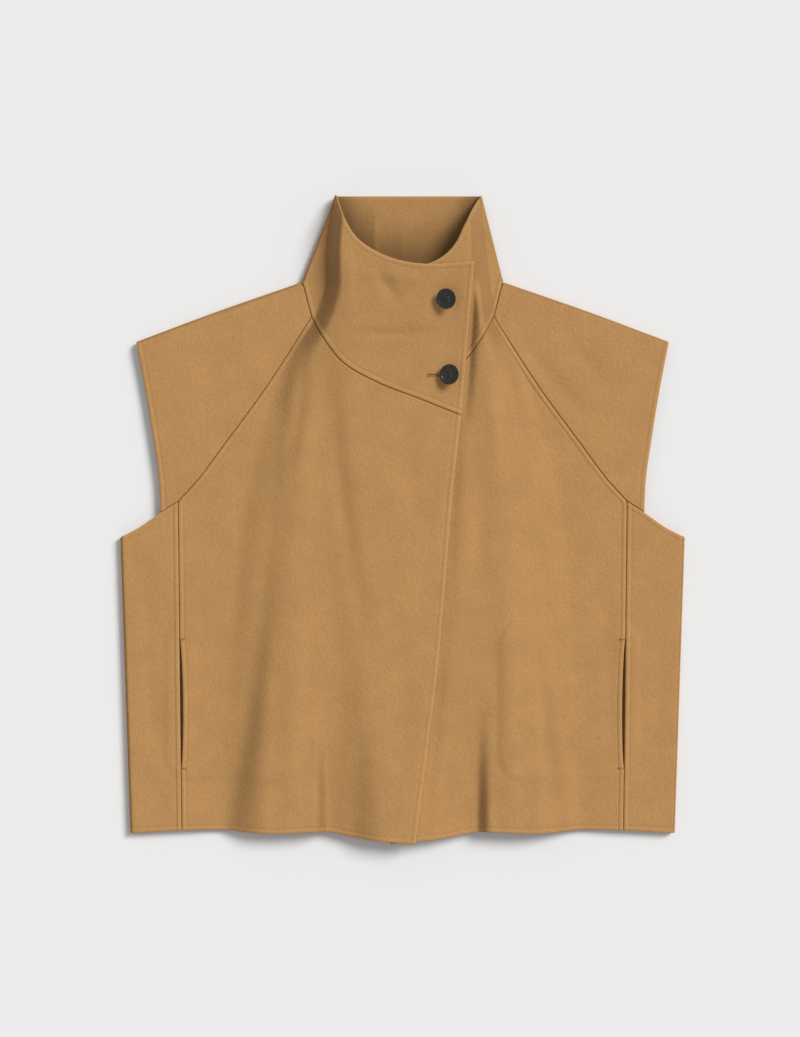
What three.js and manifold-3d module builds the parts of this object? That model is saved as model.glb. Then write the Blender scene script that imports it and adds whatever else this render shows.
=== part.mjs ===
// A sleeveless double-faced wool jacket with raglan cap sleeves, a funnel collar and a slanted overlap,
// buttoned and laid flat on its back. Millimetres, +Z up off what it lies on, +Y towards the collar.
// Right and left are the wearer's, so its right side is at -X, and its right front lies over the left one.
import * as THREE from 'three';
import { mergeVertices } from 'three/addons/utils/BufferGeometryUtils.js';
import Module from 'manifold-3d';

const wasm = await Module();
wasm.setup();

// ---- cloth and seams ----
const cloth = 2.4; // double-faced wool: two webs felted into one
const bagCloth = 1.4; // pocket bag
const seamGap = 0.36; // between the edges of two pieces that are sewn together
const layerGap = 0.5; // between cloth that lies on cloth
const lapGap = 1.1; // between the two fronts where one laps over the other
const backLevel = cloth / 2; // middle of the lower layer, whose underside is on the ground
const sideLevel = 8.6; // middle of the upper layer where the garment is flattest
const foldReach = 3.7; // how far a folded edge curves in from its outermost line
const foldAngles = [90, 60, 30, 0, -30, -60, -90]; // stations round a folded edge, upper layer first

// ---- outline of the left half, x from the centre and y up from the side corners of the hem ----
const hemCorner = [299, 0];
const underarm = [310, 326];
const sideSeamHem = [243, 3];
const sideSeamTop = [247, 365];
const sleeveCorner = [266, 353]; // where the cap's own hem meets the armhole
const sleeveTip = [293, 540];
const shoulderNeck = [110, 606];
const raglanNeck = [100, 568];
const backRaglanNeck = [88, 588];
const backNeckCentre = [0, 578];
const backHemCentre = [0, 7];
const frontHem = [[200, 3.5], [140, 1], [88, 2.5], [48, -4]]; // between the side seam and the front corner
const frontHemCorner = [14, -10];
const raglan = [[225, 389], [196, 428], [152, 488]];
const backRaglan = [[222, 392], [190, 438], [143, 505]];
const armhole = [[289, 337]];
const sleeveHem = [[283, 488], [274, 433], [268, 390]];
const neckKink = [64, 516]; // the neck seam turns here from steep to shallow
const neckSeam = [[84, 540], neckKink, [25, 494], [-19, 477]];

// ---- the two collar ends and the two front edges, which differ because one lies over the other ----
const over = { // the right front, whose edge ends past the centre
  neck: [64, 459],
  edge: [[54, 367], [46, 268], [38, 180], [27, 92]],
  collarTop: [78, 626],
  topEdge: [[-64, 675], [-51, 653], [-31, 638], [-3, 627], [30, 623], [52, 624]],
  peak: [-73, 702],
};
const under = { // the left front, whose edge is hidden beneath it
  neck: [-50, 468],
  edge: [[-43, 367], [-36, 268], [-29, 180], [-22, 92]],
  collarTop: [-58, 620],
  topEdge: [[68, 667], [57, 645], [44, 632], [28, 624], [0, 620], [-30, 619]],
  peak: [86, 702],
};

// ---- drape of the upper layer ----
// It climbs from the low sides to the raised middle over this width, about a line on each side.
const climb = [
  { y: -15, right: 175, left: 175, width: 54, height: 12 },
  { y: 170, right: 168, left: 168, width: 50, height: 11 },
  { y: 390, right: 149, left: 149, width: 44, height: 9.5 },
  { y: 500, right: 121, left: 121, width: 36, height: 10 },
  { y: 535, right: 106, left: 106, width: 32, height: 12 },
  { y: 560, right: 90, left: 97, width: 26, height: 14.5 },
  { y: 590, right: 78, left: 90, width: 22, height: 18 },
  { y: 640, right: 76, left: 84, width: 20, height: 23 },
  { y: 703, right: 68, left: 78, width: 14, height: 24 },
];
const hemDip = { sharp: [96, 82], soft: [16, 78], depth: 9, fade: [-10, 180] }; // flute by each hem crease
const sideTrough = { x: 206, spread: 20, depth: 1.6, fade: [0, 360] };
const frontTrough = { from: [-82, 512], to: [-34, 180], spread: 11, depth: 1.8 }; // down the right front
const overlapBlend = [-46, -7]; // where the right front climbs on to the left one, from that one's edge

// ---- pockets, in the side seams ----
const pocket = { bottom: 72, top: 213, gape: 2.8 };
const pocketBag = { bottom: 60, top: 234, width: 136, underSide: 9, pouch: 1.8 };

// ---- buttons ----
const button = { radius: 11.4, thickness: 3.4, rim: 2.3, wellDepth: 0.9, holeRadius: 1, holePitch: 3.4 };
const shankRadius = 1.1;
const buttonPlaces = {
  upper: { at: [48.5, 585], tilt: 24, towards: 205, holeFrom: -12.5, holeTo: 10 },
  lower: { at: [52, 503], tilt: 22, towards: 180, holeFrom: -24, holeTo: 0 },
};
const buttonhole = { width: 1.2, eyeRadius: 1.9 }; // the eye is where the shank parts the slit

// ---- small maths ----
const smooth = (t) => THREE.MathUtils.smoothstep(t, 0, 1);
const ramp = (value, [from, to]) => smooth((value - from) / (to - from));
const mirror = ([x, y]) => [-x, y];

// Value of a column of a table at y, on a smooth curve through its rows.
function column(table, name, y) {
  const last = table.length - 1;
  const above = table.findIndex((row) => row.y > y);
  const high = above < 0 ? last : Math.max(above, 1);
  const at = (i) => table[THREE.MathUtils.clamp(i, 0, last)];
  const slope = (i) => (at(i + 1)[name] - at(i - 1)[name]) / (at(i + 1).y - at(i - 1).y);
  const [low, span] = [high - 1, at(high).y - at(high - 1).y];
  const t = THREE.MathUtils.clamp((y - at(low).y) / span, 0, 1);
  const [t2, t3] = [t * t, t * t * t];
  return (2 * t3 - 3 * t2 + 1) * at(low)[name] + (t3 - 2 * t2 + t) * span * slope(low)
    + (3 * t2 - 2 * t3) * at(high)[name] + (t3 - t2) * span * slope(high);
}

// ---- heights of the middle of the cloth ----
function climbShare(x, y, side) {
  const line = column(climb, side, y);
  const width = column(climb, 'width', y);
  const inward = line - (side === 'right' ? -x : x);
  return smooth(inward / width + 0.5);
}

function foldDepth(x, y) {
  const across = Math.abs(x);
  const inFlute = ramp(across, hemDip.sharp) * ramp(across, hemDip.soft);
  const dip = hemDip.depth * inFlute * (1 - ramp(y, hemDip.fade));
  const aside = (across - sideTrough.x) / sideTrough.spread;
  return dip + sideTrough.depth * Math.exp(-aside * aside) * (1 - ramp(y, sideTrough.fade));
}

function underHeight(x, y) {
  const share = climbShare(x, y, 'right') * climbShare(x, y, 'left');
  return sideLevel + column(climb, 'height', y) * share - foldDepth(x, y) - troughDepth(x, y);
}

function troughDepth(x, y) {
  const { from, to, spread, depth } = frontTrough;
  const t = (from[1] - y) / (from[1] - to[1]);
  const aside = (x - THREE.MathUtils.lerp(from[0], to[0], t)) / spread;
  const ends = Math.max(0, Math.sin(Math.PI * THREE.MathUtils.clamp(t, 0, 1)));
  return depth * Math.exp(-aside * aside) * ends;
}

// The hidden edge of the left front and of the collar's end above it, from the hem up.
const underEdge = [mirror(frontHemCorner), ...[...under.edge].reverse(), under.neck, under.collarTop]
  .map(([x, y]) => ({ x, y }));

function overHeight(x, y) {
  const lift = (cloth + lapGap) * ramp(x - column(underEdge, 'x', y), overlapBlend);
  const share = climbShare(x, y, 'right');
  return sideLevel + column(climb, 'height', y) * share - foldDepth(x, y) - troughDepth(x, y) + lift;
}

// ---- edges: points spaced evenly on a smooth curve through the knots ----
function edge(knots, divisions) {
  const points = knots.map(([x, y]) => new THREE.Vector3(x, y, 0));
  return new THREE.CatmullRomCurve3(points, false, 'centripetal').getSpacedPoints(divisions);
}
const joined = (...edges) => edges.flatMap((points, i) => (i ? points.slice(1) : points));
const reversed = (points) => [...points].reverse();
const mirrored = (points) => points.map((p) => new THREE.Vector3(-p.x, p.y, 0));

// The area between four edges as rows of points: foot is the first row and head the last,
// and every row runs from one side to the other.
function patch({ from, to, foot, head }) {
  const [rows, columns] = [from.length - 1, foot.length - 1];
  return from.map((start, r) => foot.map((below, c) => {
    const [u, v] = [c / columns, r / rows];
    const blend = new THREE.Vector3()
      .addScaledVector(start, 1 - u).addScaledVector(to[r], u)
      .addScaledVector(below, 1 - v).addScaledVector(head[c], v);
    return blend
      .addScaledVector(foot[0], -(1 - u) * (1 - v)).addScaledVector(foot[columns], -u * (1 - v))
      .addScaledVector(head[0], -(1 - u) * v).addScaledVector(head[columns], -u * v);
  }));
}

// Draws the named sides of a patch in by half a seam gap.
function drawIn(grid, sides) {
  const [rows, columns] = [grid.length - 1, grid[0].length - 1];
  const inwardOf = {
    from: (r, c) => c === 0 && across(grid, r, c, 1, 0, 0, 1),
    to: (r, c) => c === columns && across(grid, r, c, 1, 0, 0, -1),
    foot: (r, c) => r === 0 && across(grid, r, c, 0, 1, 1, 0),
    head: (r, c) => r === rows && across(grid, r, c, 0, 1, -1, 0),
  };
  return grid.map((row, r) => row.map((point, c) => {
    const inward = sides.map((side) => inwardOf[side](r, c)).filter(Boolean);
    if (!inward.length) return point.clone();
    const sum = inward.reduce((total, n) => total.add(n), new THREE.Vector3());
    const corner = inward.length > 1 ? sum.lengthSq() / 2 : 1;
    return point.clone().addScaledVector(sum, seamGap / 2 / corner);
  }));
}

// The entry of a grid at a row and column, or the nearest one to a place outside it.
function neighbour(grid, r, c) {
  const row = grid[THREE.MathUtils.clamp(r, 0, grid.length - 1)];
  return row[THREE.MathUtils.clamp(c, 0, row.length - 1)];
}

// Unit vector square to a side of a patch at a point of it, pointing into the patch.
function across(grid, r, c, alongRow, alongColumn, inRow, inColumn) {
  const at = (i, j) => neighbour(grid, i, j);
  const along = at(r + alongRow, c + alongColumn).clone().sub(at(r - alongRow, c - alongColumn));
  const square = new THREE.Vector3(-along.y, along.x, 0).normalize();
  const into = at(r + inRow, c + inColumn).clone().sub(at(r, c));
  return square.dot(into) < 0 ? square.negate() : square;
}

// ---- stations: a point in the middle of the cloth, with the way its outer face looks at a seam ----
const upward = new THREE.Vector3(0, 0, 1);
const downward = new THREE.Vector3(0, 0, -1);
const laid = ({ x, y }, height, facing) => ({ point: new THREE.Vector3(x, y, height(x, y)), facing });
const laidGrid = (grid, height, facing) => grid.map((row) => row.map((point) => laid(point, height, facing)));
const onBack = () => backLevel;

// A row round a folded edge, from the upper layer to the lower one.
// Each layer's row starts at the fold line, and its first step is wider than foldReach.
function foldedRow(upperRow, lowerRow, height) {
  const [upperIn, lowerIn] = [upperRow, lowerRow].map((row) => row[1].clone().sub(row[0]).normalize());
  const middleIn = upperIn.clone().add(lowerIn).normalize();
  const start = upperRow[0].clone().addScaledVector(upperIn, foldReach);
  const topLevel = height(start.x, start.y);
  const turn = foldAngles.map((degrees) => {
    const angle = THREE.MathUtils.degToRad(degrees);
    const inward = degrees > 0 ? upperIn : lowerIn;
    const point = upperRow[0].clone().addScaledVector(inward, foldReach * (1 - Math.cos(angle)));
    point.z = (topLevel + backLevel) / 2 + (topLevel - backLevel) / 2 * Math.sin(angle);
    const facing = middleIn.clone().multiplyScalar(-Math.cos(angle)).setZ(Math.sin(angle)).normalize();
    return { point, facing };
  });
  return [
    ...reversed(upperRow.slice(1)).map((point) => laid(point, height, upward)),
    ...turn,
    ...lowerRow.slice(1).map((point) => laid(point, onBack, downward)),
  ];
}

// ---- walls ----
// Outward normal at a station, from its neighbours, or as its facing says on a seam.
function normalAt(grid, r, c, seams) {
  const [rows, columns] = [grid.length - 1, grid[0].length - 1];
  const onSeam = (r === 0 && seams.includes('foot')) || (r === rows && seams.includes('head'))
    || (c === 0 && seams.includes('from')) || (c === columns && seams.includes('to'));
  const { facing } = grid[r][c];
  if (onSeam) return facing;
  const at = (i, j) => neighbour(grid, i, j).point;
  const up = at(r + 1, c).clone().sub(at(r - 1, c));
  const normal = at(r, c + 1).clone().sub(at(r, c - 1)).cross(up).normalize();
  return normal.dot(facing) < 0 ? normal.negate() : normal;
}

// Closed wall about a grid of stations.
function wall(grid, thickness, seams) {
  const [rows, columns] = [grid.length, grid[0].length];
  const positions = [];
  const index = [];
  for (const side of [0.5, -0.5])
    grid.forEach((row, r) => row.forEach(({ point }, c) => {
      const normal = normalAt(grid, r, c, seams);
      positions.push(...point.clone().addScaledVector(normal, side * thickness));
    }));
  const at = (side, r, c) => (side * rows + r) * columns + c;
  const quad = (a, b, c, d) => index.push(a, b, c, a, c, d);
  for (let r = 0; r < rows - 1; r++)
    for (let c = 0; c < columns - 1; c++) {
      quad(at(0, r, c), at(0, r, c + 1), at(0, r + 1, c + 1), at(0, r + 1, c));
      quad(at(1, r, c), at(1, r + 1, c), at(1, r + 1, c + 1), at(1, r, c + 1));
    }
  for (let c = 0; c < columns - 1; c++) {
    quad(at(0, 0, c), at(1, 0, c), at(1, 0, c + 1), at(0, 0, c + 1));
    quad(at(0, rows - 1, c), at(0, rows - 1, c + 1), at(1, rows - 1, c + 1), at(1, rows - 1, c));
  }
  for (let r = 0; r < rows - 1; r++) {
    quad(at(0, r, 0), at(0, r + 1, 0), at(1, r + 1, 0), at(1, r, 0));
    quad(at(0, r, columns - 1), at(1, r, columns - 1), at(1, r + 1, columns - 1), at(0, r + 1, columns - 1));
  }
  const geometry = new THREE.BufferGeometry();
  geometry.setAttribute('position', new THREE.Float32BufferAttribute(positions, 3));
  geometry.setIndex(index);
  return facingOut(geometry);
}

function volumeOf(geometry) {
  const position = geometry.getAttribute('position');
  const corner = (i) => new THREE.Vector3().fromBufferAttribute(position, geometry.index.getX(i));
  let total = 0;
  for (let i = 0; i < geometry.index.count; i += 3)
    total += corner(i).dot(corner(i + 1).cross(corner(i + 2))) / 6;
  return total;
}

function facingOut(geometry) {
  if (volumeOf(geometry) > 0) return geometry;
  geometry.setIndex([...geometry.index.array].reverse());
  return geometry;
}

// ---- solids for cutting ----
function solidOf(geometry) {
  const bare = new THREE.BufferGeometry().setAttribute('position', geometry.getAttribute('position'));
  if (geometry.index) bare.setIndex(geometry.index);
  const merged = mergeVertices(bare, 1e-4);
  const [vertProperties, triVerts] = [merged.attributes.position.array, new Uint32Array(merged.index.array)];
  return new wasm.Manifold(new wasm.Mesh({ numProp: 3, vertProperties, triVerts }));
}

function geometryOf(solid) {
  const mesh = solid.getMesh();
  const geometry = new THREE.BufferGeometry();
  geometry.setAttribute('position', new THREE.BufferAttribute(mesh.vertProperties, 3));
  geometry.setIndex(new THREE.BufferAttribute(mesh.triVerts, 1));
  return geometry;
}

// ---- seams that two pieces share, sampled once so that their edges match ----
const steps = {
  sideSeam: 10, raglan: 12, corner: 1, neckShoulder: 4, neckFront: 15, backNeck: 8, collarHeight: 8,
};
const leftSeams = {
  side: edge([sideSeamHem, sideSeamTop], steps.sideSeam),
  raglan: edge([sideSeamTop, ...raglan, raglanNeck], steps.raglan),
  backRaglan: edge([sideSeamTop, ...backRaglan, backRaglanNeck], steps.raglan),
  corner: edge([sideSeamTop, sleeveCorner], steps.corner),
  shoulder: edge([shoulderNeck, raglanNeck], steps.neckShoulder),
  backShoulder: edge([shoulderNeck, backRaglanNeck], steps.neckShoulder),
};
const rightSeams = Object.fromEntries(
  Object.entries(leftSeams).map(([name, points]) => [name, mirrored(points)]));
const overNeck = edge([...[raglanNeck, ...neckSeam].map(mirror), over.neck], steps.neckFront);
const underNeck = edge([raglanNeck, ...neckSeam, under.neck], steps.neckFront);
const backNeck = edge([mirror(backRaglanNeck), backNeckCentre, backRaglanNeck], steps.backNeck);

// ---- pieces ----
const meshes = new THREE.Group();
const wool = new THREE.MeshStandardMaterial({ color: '#b4895e', roughness: 0.95, metalness: 0 });
const bagWool = new THREE.MeshStandardMaterial({ color: '#a67d54', roughness: 0.95, metalness: 0 });
const horn = new THREE.MeshStandardMaterial({ color: '#1b1918', roughness: 0.28, metalness: 0 });
const thread = new THREE.MeshStandardMaterial({ color: '#1a1817', roughness: 0.8, metalness: 0 });

function add(name, geometry, material) {
  const mesh = new THREE.Mesh(geometry, material);
  mesh.name = name;
  meshes.add(mesh);
  return mesh;
}

// Opens the front's edge away from the side seam along the pocket mouth.
function gapedSide(points, sign) {
  const mouth = [pocket.bottom, (pocket.bottom + pocket.top) / 2, pocket.top];
  return points.map((point) => {
    const t = (point.y - mouth[0]) / (mouth[2] - mouth[0]);
    const open = t > 0 && t < 1 ? pocket.gape * Math.sin(Math.PI * t) ** 0.6 : 0;
    return new THREE.Vector3(point.x + sign * open, point.y, 0);
  });
}

function addFront(name, sideSign, seams, end, neck, height) {
  const corner = sideSign < 0 ? frontHemCorner : mirror(frontHemCorner);
  const hem = [sideSeamHem, ...frontHem].map((p) => (sideSign < 0 ? mirror(p) : p)).concat([corner]);
  const grid = patch({
    from: joined(gapedSide(seams.side, -sideSign), seams.raglan),
    to: edge([corner, ...reversed(end.edge), end.neck], steps.sideSeam + steps.raglan),
    foot: edge(hem, steps.neckFront),
    head: neck,
  });
  const sewn = ['from', 'head'];
  add(name, wall(laidGrid(drawIn(grid, sewn), height, upward), cloth, sewn), wool);
}

function addBack() {
  const hem = edge([mirror(sideSeamHem), backHemCentre, sideSeamHem], steps.backNeck);
  const grid = patch({
    from: joined(rightSeams.side, rightSeams.backRaglan),
    to: joined(leftSeams.side, leftSeams.backRaglan),
    foot: hem,
    head: backNeck,
  });
  const sewn = ['from', 'to', 'head'];
  add('back', wall(laidGrid(drawIn(grid, sewn), onBack, downward), cloth, sewn), wool);
}

// One cloth panel under the arm, folded at its outer edge, from the front's side seam to the back's.
function addSidePanel(name, sign, seams, height) {
  const flip = (p) => (sign < 0 ? mirror(p) : p);
  const stepsAcross = 4;
  const grid = patch({
    from: edge([hemCorner, underarm].map(flip), steps.sideSeam),
    to: seams.side,
    foot: edge([hemCorner, sideSeamHem].map(flip), stepsAcross),
    head: edge([underarm, ...armhole, sleeveCorner, sideSeamTop].map(flip), stepsAcross),
  });
  const drawn = drawIn(grid, ['to', 'head']);
  const rows = drawn.map((row) => foldedRow(row, row, height));
  add(name, wall(rows, cloth, ['from', 'to', 'head']), wool);
}

// Cap sleeve in one piece, folded along the shoulder, between the front and back raglan seams.
function addSleeve(name, sign, seams, height) {
  const flip = (p) => (sign < 0 ? mirror(p) : p);
  const fold = edge([shoulderNeck, [205, 573], sleeveTip].map(flip), steps.raglan + steps.corner);
  const layer = (raglanSeam, neckEdge) => drawIn(patch({
    from: fold,
    to: joined(reversed(raglanSeam), seams.corner),
    foot: neckEdge,
    head: edge([sleeveTip, ...sleeveHem, sleeveCorner].map(flip), steps.neckShoulder),
  }), ['to', 'foot']);
  const upper = layer(seams.raglan, seams.shoulder);
  const lower = layer(seams.backRaglan, seams.backShoulder);
  const rows = upper.map((row, r) => foldedRow(row, lower[r], height));
  add(name, wall(rows, cloth, ['from', 'to', 'foot']), wool);
}

// Funnel collar: one band from the over end, round the back, to the under end.
function addCollar() {
  const layer = (end, seams, neck, neckShoulder) => {
    const topKnots = [end.peak, ...end.topEdge, end.collarTop];
    return drawIn(patch({
      from: edge([neckShoulder, end.peak], steps.collarHeight),
      to: edge([end.neck, end.collarTop], steps.collarHeight),
      foot: joined(seams.shoulder, neck),
      head: edge(topKnots, steps.neckShoulder + steps.neckFront),
    }), ['foot']);
  };
  const overLayer = layer(over, rightSeams, overNeck, mirror(shoulderNeck));
  const underLayer = layer(under, leftSeams, underNeck, shoulderNeck);
  const backLayer = drawIn(patch({
    from: edge([mirror(shoulderNeck), over.peak], steps.collarHeight),
    to: edge([shoulderNeck, under.peak], steps.collarHeight),
    foot: joined(rightSeams.backShoulder, backNeck, reversed(leftSeams.backShoulder)),
    head: edge([over.peak, under.peak], 2 * steps.neckShoulder + steps.backNeck),
  }), ['foot']);
  const rows = backLayer.map((row, r) => {
    const middle = Math.floor(row.length / 2);
    const [rightHalf, leftHalf] = [row.slice(0, middle + 1), reversed(row.slice(middle + 1))];
    const rightTurn = foldedRow(overLayer[r], rightHalf, overHeight);
    const leftTurn = foldedRow(underLayer[r], leftHalf, underHeight);
    return [...rightTurn, ...reversed(leftTurn)];
  });
  const collar = solidOf(wall(rows, cloth, ['foot']));
  const opened = collar.subtract(buttonholeSolid('upper')).subtract(buttonholeSolid('lower'));
  add('collar', geometryOf(opened), wool);
}

// Patch of cloth sewn inside the front round three sides, and to the side panel at the pocket mouth.
function addPocketBag(name, sign, height) {
  const outer = sideSeamHem[0] + pocketBag.underSide;
  const inner = sideSeamHem[0] - pocketBag.width;
  const [stepsAcross, stepsUp] = [9, 6];
  const side = (x) => edge([[sign * x, pocketBag.bottom], [sign * x, pocketBag.top]], stepsUp);
  const end = (y) => edge([[sign * outer, y], [sign * inner, y]], stepsAcross);
  const grid = patch({
    from: side(outer),
    to: side(inner),
    foot: end(pocketBag.bottom),
    head: end(pocketBag.top),
  });
  const hang = cloth / 2 + 2 * layerGap + bagCloth / 2;
  const lowest = cloth + layerGap + bagCloth / 2;
  const stations = grid.map((row, r) => row.map(({ x, y }, c) => {
    const slack = Math.sin(Math.PI * r / stepsUp) * Math.cos(Math.PI / 2 * c / stepsAcross);
    const z = Math.max(height(x, y) - hang - pocketBag.pouch * slack, lowest);
    return { point: new THREE.Vector3(x, y, z), facing: upward };
  }));
  add(name, wall(stations, bagCloth, []), bagWool);
}

// ---- buttons ----
function buttonGeometry() {
  const { radius, thickness, rim, wellDepth, holeRadius, holePitch } = button;
  const edgeRound = 0.8;
  const profile = [
    [0, 0], [radius * 0.62, 0], [radius - 1.2, 0.5], [radius, 1.5], [radius, thickness - edgeRound],
    [radius - edgeRound, thickness], [radius - rim + 0.5, thickness],
    [radius - rim - 0.5, thickness - wellDepth], [0, thickness - wellDepth],
  ].map(([r, z]) => new THREE.Vector2(r, z));
  const turned = new THREE.LatheGeometry(profile, 40).rotateX(Math.PI / 2);
  let solid = solidOf(facingOut(mergeVertices(new THREE.BufferGeometry()
    .setAttribute('position', turned.getAttribute('position')).setIndex(turned.index), 1e-4)));
  for (const [x, y] of [[-1, -1], [-1, 1], [1, -1], [1, 1]]) {
    const hole = new THREE.CylinderGeometry(holeRadius, holeRadius, 3 * thickness, 12).rotateX(Math.PI / 2);
    hole.translate(x * holePitch / 2, y * holePitch / 2, 0);
    solid = solid.subtract(solidOf(hole));
  }
  return geometryOf(solid);
}

function addButton(which) {
  const { at: [x, y], tilt, towards } = buttonPlaces[which];
  const outerFace = overHeight(x, y) + cloth / 2;
  const lift = button.radius * Math.sin(THREE.MathUtils.degToRad(tilt)) + layerGap + 0.6;
  const mesh = add(`button_${which}`, buttonGeometry(), horn);
  mesh.position.set(x, y, outerFace + lift);
  const way = THREE.MathUtils.degToRad(towards);
  const lean = THREE.MathUtils.degToRad(tilt);
  mesh.quaternion.setFromAxisAngle(new THREE.Vector3(-Math.sin(way), Math.cos(way), 0), lean);
  const foot = underHeight(x, y) + cloth / 2 + seamGap;
  const head = outerFace + lift - shankRadius * Math.tan(lean) - seamGap;
  const shank = new THREE.CylinderGeometry(shankRadius, shankRadius, head - foot, 12).rotateX(Math.PI / 2);
  add(`thread_shank_${which}`, shank, thread).position.set(x, y, (head + foot) / 2);
}

// A slit that runs across, with its eye round the button's shank.
function buttonholeSolid(which) {
  const { at: [x, y], holeFrom, holeTo } = buttonPlaces[which];
  const deep = 5;
  const level = overHeight(x, y) + 1;
  const slit = new THREE.BoxGeometry(holeTo - holeFrom, buttonhole.width, deep);
  slit.translate(x + (holeFrom + holeTo) / 2, y, level);
  const { eyeRadius } = buttonhole;
  const eye = new THREE.CylinderGeometry(eyeRadius, eyeRadius, deep, 16).rotateX(Math.PI / 2);
  eye.translate(x, y, level);
  return solidOf(slit).add(solidOf(eye));
}

addBack();
addFront('front_right_over', -1, rightSeams, over, overNeck, overHeight);
addFront('front_left_under', 1, leftSeams, under, underNeck, underHeight);
addSidePanel('side_panel_right', -1, rightSeams, overHeight);
addSidePanel('side_panel_left', 1, leftSeams, underHeight);
addSleeve('sleeve_right', -1, rightSeams, overHeight);
addSleeve('sleeve_left', 1, leftSeams, underHeight);
addCollar();
addPocketBag('pocket_bag_right', -1, overHeight);
addPocketBag('pocket_bag_left', 1, underHeight);
addButton('upper');
addButton('lower');

// The origin is under the middle of the garment, on the surface that it lies on.
const bounds = new THREE.Box3().setFromObject(meshes, true);
meshes.position.set(-(bounds.min.x + bounds.max.x) / 2, -(bounds.min.y + bounds.max.y) / 2, -bounds.min.z);

export default meshes;
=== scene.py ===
# A double-faced wool jacket with cap sleeves, buttoned and laid flat, seen from straight above.
# Right and left are the wearer's, so the right front, which laps over, is at -X.
import math

import bpy
import numpy as np
from mathutils import Matrix, Vector


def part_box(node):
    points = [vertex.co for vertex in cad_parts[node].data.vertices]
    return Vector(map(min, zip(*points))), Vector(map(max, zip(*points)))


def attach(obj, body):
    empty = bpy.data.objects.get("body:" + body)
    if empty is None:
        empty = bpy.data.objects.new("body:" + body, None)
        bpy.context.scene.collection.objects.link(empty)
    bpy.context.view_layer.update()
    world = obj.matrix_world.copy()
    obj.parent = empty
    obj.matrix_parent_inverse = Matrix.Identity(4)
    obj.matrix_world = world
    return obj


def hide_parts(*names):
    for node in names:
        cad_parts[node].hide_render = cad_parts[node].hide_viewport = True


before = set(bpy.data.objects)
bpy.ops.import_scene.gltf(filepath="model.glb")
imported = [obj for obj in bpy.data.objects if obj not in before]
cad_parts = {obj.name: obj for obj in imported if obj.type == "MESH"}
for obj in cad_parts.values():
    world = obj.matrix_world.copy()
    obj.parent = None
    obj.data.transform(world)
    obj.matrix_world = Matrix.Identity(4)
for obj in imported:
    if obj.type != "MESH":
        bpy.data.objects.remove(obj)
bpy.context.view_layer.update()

mm = 0.001
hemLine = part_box("side_panel_right")[0].y / mm  # where the cut's y = 0 lies in the frame
print("frame loaded")

# Sizes of the cut, in mm: x from the centre, y up from the side corners of the hem.
cloth = dict(thick=2.4, bagThick=1.4, seamGap=0.36, lapGap=1.1, layerGap=0.5,
             backLevel=1.2, sideLevel=8.6, foldReach=3.7, leanFull=0.16, innerShade=0.8)

cut = dict(
    hemCorner=(299, 0), underarm=(310, 326), sideSeamHem=(243, 3), sideSeamTop=(247, 365),
    sleeveCorner=(266, 353), sleeveTip=(293, 540), shoulderNeck=(110, 606),
    raglanNeck=(100, 568), backRaglanNeck=(88, 588), backNeckCentre=(0, 578), backHemCentre=(0, 7),
    frontHem=[(200, 3.5), (140, 1), (88, 2.5), (48, -4)], frontHemCorner=(14, -10),
    raglan=[(225, 389), (196, 428), (152, 488)], backRaglan=[(222, 392), (190, 438), (143, 505)],
    armhole=[(289, 337)], sleeveHem=[(283, 488), (274, 433), (268, 390)], shoulderFold=[(205, 573)],
    neckSeam=[(84, 540), (64, 516), (25, 494), (-19, 477)])

overEnd = dict(  # the right front and its end of the collar, on top
    neck=(64, 459), edge=[(54, 367), (46, 268), (38, 180), (27, 92)], collarTop=(78, 626),
    topEdge=[(-64, 675), (-51, 653), (-31, 638), (-3, 627), (30, 623), (52, 624)], peak=(-73, 702))

underEnd = dict(  # the left front and its end of the collar, hidden under the right
    neck=(-50, 468), edge=[(-43, 367), (-36, 268), (-29, 180), (-22, 92)], collarTop=(-58, 620),
    topEdge=[(68, 667), (57, 645), (44, 632), (28, 624), (0, 620), (-30, 619)], peak=(86, 702))

# Where the upper layer climbs from the low sides to the raised middle, by height up the garment.
climb = dict(
    y=[-15, 170, 390, 500, 535, 560, 590, 640, 703],
    right=[175, 168, 149, 121, 106, 90, 78, 76, 68],
    left=[175, 168, 149, 121, 106, 97, 90, 84, 78],
    width=[54, 50, 44, 36, 32, 26, 22, 20, 14],
    height=[12, 11, 9.5, 10, 12, 14.5, 18, 23, 24])

hemDip = dict(sharp=(96, 82), soft=(16, 78), depth=9, fade=(-10, 180))
sideTrough = dict(x=206, spread=20, depth=1.6, fade=(0, 360))

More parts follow.
